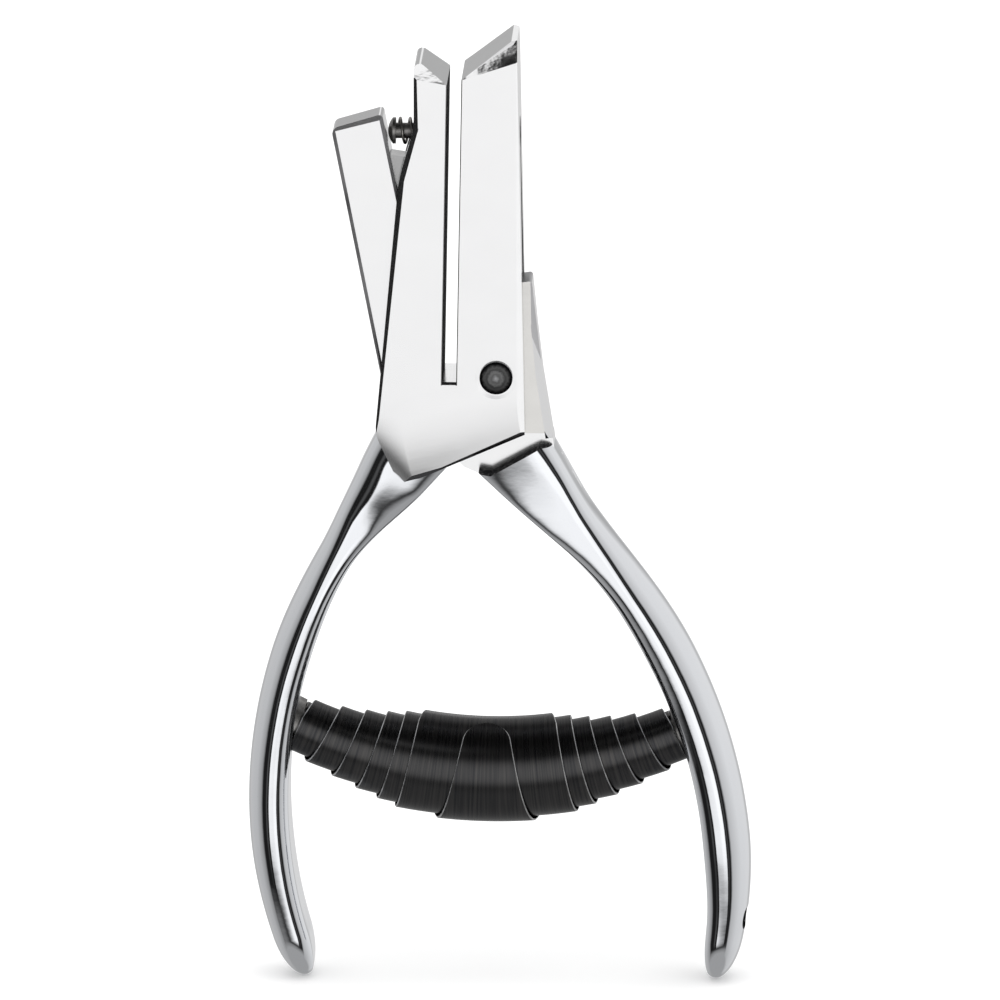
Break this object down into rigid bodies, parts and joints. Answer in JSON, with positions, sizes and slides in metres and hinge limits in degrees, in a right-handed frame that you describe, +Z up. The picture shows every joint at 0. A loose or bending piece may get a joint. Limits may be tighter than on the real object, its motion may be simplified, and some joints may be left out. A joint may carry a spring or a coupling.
{
  "type": "hole punch pliers",
  "caption": "Upright chromed hand pliers that punch a round hole: forked frame with a paper throat, crossing lever with punch arm, sprung punch, die bush and a double volute spring.",
  "frame": {"origin": "on the ground midway between the outer sides of the handles, under the middle of the tool's depth", "axes": "+Z up from the handle tips to the jaws, front face towards -Y, lever handle towards +X"},
  "size_m": [0.0804, 0.0172, 0.1545],
  "materials": {
    "chrome": "polished",
    "blued_steel": "black oxide",
    "tool_steel": "hardened"
  },
  "bodies": {
    "frame": {"frame": "chrome", "pivot_rivet": "blued_steel", "die_bush": "tool_steel", "frame_spring_peg": "tool_steel", "volute_spring": "blued_steel", "punch_return_spring": "tool_steel"},
    "lever": {"lever": "chrome", "lever_spring_peg": "tool_steel"},
    "punch": {"punch": "tool_steel"}
  },
  "joints": [
    {"name": "lever_squeeze", "type": "hinge", "parent": "frame", "child": "lever", "pos_m": [-0.0005, 0, 0.1], "axis": [0, 1, 0], "range_deg": [0, 6], "stiffness_Nm_per_rad": 3, "springref_deg": -17.19, "deforming": ["volute_spring"]},
    {"name": "punch_stroke", "type": "slide", "parent": "frame", "child": "punch", "axis": [1, 0, 0], "range_m": [0, 0.0043], "deforming": ["punch_return_spring"]}
  ],
  "couplings": [
    {"joint": "punch_stroke", "follows": "lever_squeeze", "m_per_rad": 0.04032}
  ]
}
